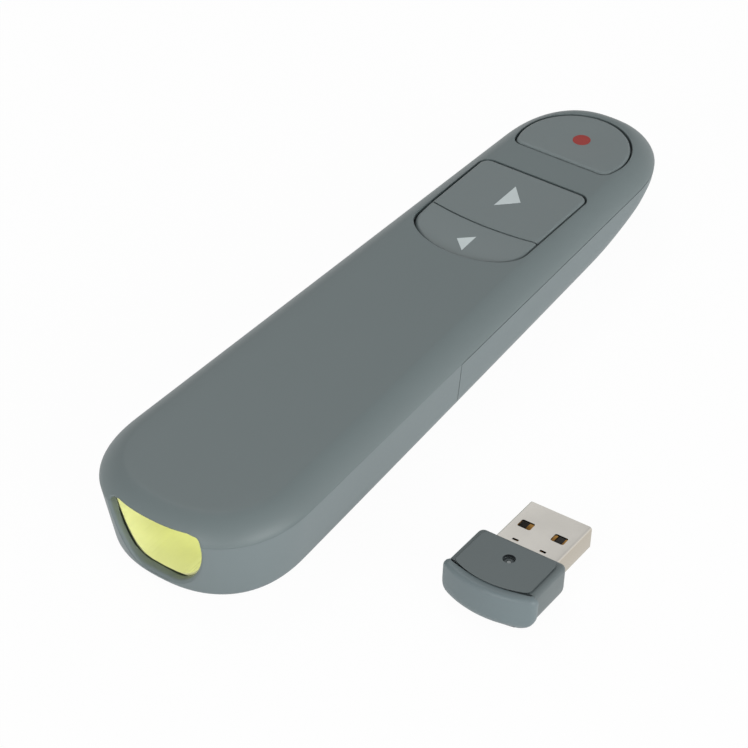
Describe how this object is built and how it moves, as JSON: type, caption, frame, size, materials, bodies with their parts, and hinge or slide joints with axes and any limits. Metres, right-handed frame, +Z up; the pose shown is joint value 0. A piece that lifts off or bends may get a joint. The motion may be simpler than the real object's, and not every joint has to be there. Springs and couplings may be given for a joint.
{
  "type": "wireless presentation clicker",
  "caption": "Hand-held presenter with laser, next and previous keys, a sliding battery door and a USB receiver that stows in its tail.",
  "frame": {"origin": "on the underside, half way along the handset and on its centre line", "axes": "+Y from the tail to the nose, +X to the user's right, +Z up out of the keys"},
  "size_m": [0.0765, 0.1442, 0.0169],
  "materials": {
    "body_grey": "matte soft-touch grey",
    "key_grey": "matte grey, a little lighter than the body",
    "receiver_grey": "fine matte grey",
    "lime_liner": "glossy lime yellow",
    "black_plastic": "matte black",
    "switch_housing": "matte black",
    "dark_plastic": "matte dark grey",
    "circuit_board": "green solder mask",
    "tinned_metal": "tinned sheet",
    "brass_barrel": "machined",
    "clear_lens": "clear",
    "window_plastic": "dark smoked, glossy",
    "cell_jacket": "printed jacket, bare of text",
    "spring_steel": "nickel plated",
    "screw_steel": "zinc plated",
    "light_pipe": "clear to milky",
    "plug_metal": "satin nickel",
    "gold_contacts": "gold flashed"
  },
  "bodies": {
    "handset": {"top_shell": "body_grey", "bottom_shell": "body_grey", "receiver_bay": "lime_liner", "tact_switches": "switch_housing", "main_board": "circuit_board", "radio_module": "tinned_metal", "controller_chip": "black_plastic", "crystal": "tinned_metal", "slide_switch": "tinned_metal", "laser_barrel": "brass_barrel", "laser_lens": "clear_lens", "laser_window": "window_plastic", "battery_tray": "black_plastic", "left_cell": "cell_jacket", "right_cell": "cell_jacket", "cell_springs": "spring_steel", "contact_plates": "spring_steel", "case_screws": "screw_steel", "board_screws": "screw_steel", "tray_screws": "screw_steel"},
    "battery_door": {"battery_door": "body_grey"},
    "laser_key": {"laser_button": "key_grey", "laser_plunger": "black_plastic"},
    "next_key": {"next_button": "key_grey", "next_plunger": "black_plastic"},
    "previous_key": {"previous_button": "key_grey", "previous_plunger": "black_plastic"},
    "power_knob": {"power_slider": "dark_plastic"},
    "receiver": {"receiver_cap": "receiver_grey", "receiver_end": "body_grey", "receiver_lens": "light_pipe", "receiver_board": "circuit_board", "usb_shell": "plug_metal", "usb_tongue": "black_plastic", "usb_contacts": "gold_contacts"}
  },
  "joints": [
    {"name": "laser_press", "type": "slide", "parent": "handset", "child": "laser_key", "axis": [0, 0, -1], "range_m": [0, 0.0003], "stiffness_N_per_m": 3000, "springref_m": -0.0002},
    {"name": "next_press", "type": "slide", "parent": "handset", "child": "next_key", "axis": [0, 0, -1], "range_m": [0, 0.0003], "stiffness_N_per_m": 3000, "springref_m": -0.0002},
    {"name": "previous_press", "type": "slide", "parent": "handset", "child": "previous_key", "axis": [0, 0, -1], "range_m": [0, 0.0003], "stiffness_N_per_m": 3000, "springref_m": -0.0002},
    {"name": "door_slide", "type": "slide", "parent": "handset", "child": "battery_door", "axis": [0, -1, 0], "range_m": [0, 0.006]},
    {"name": "power_slide", "type": "slide", "parent": "handset", "child": "power_knob", "axis": [0, 1, 0], "range_m": [0, 0.002]},
    {"name": "receiver_lift", "type": "slide", "parent": "handset", "child": "receiver", "axis": [0, 0, 1], "range_m": [0, 0.03]}
  ]
}
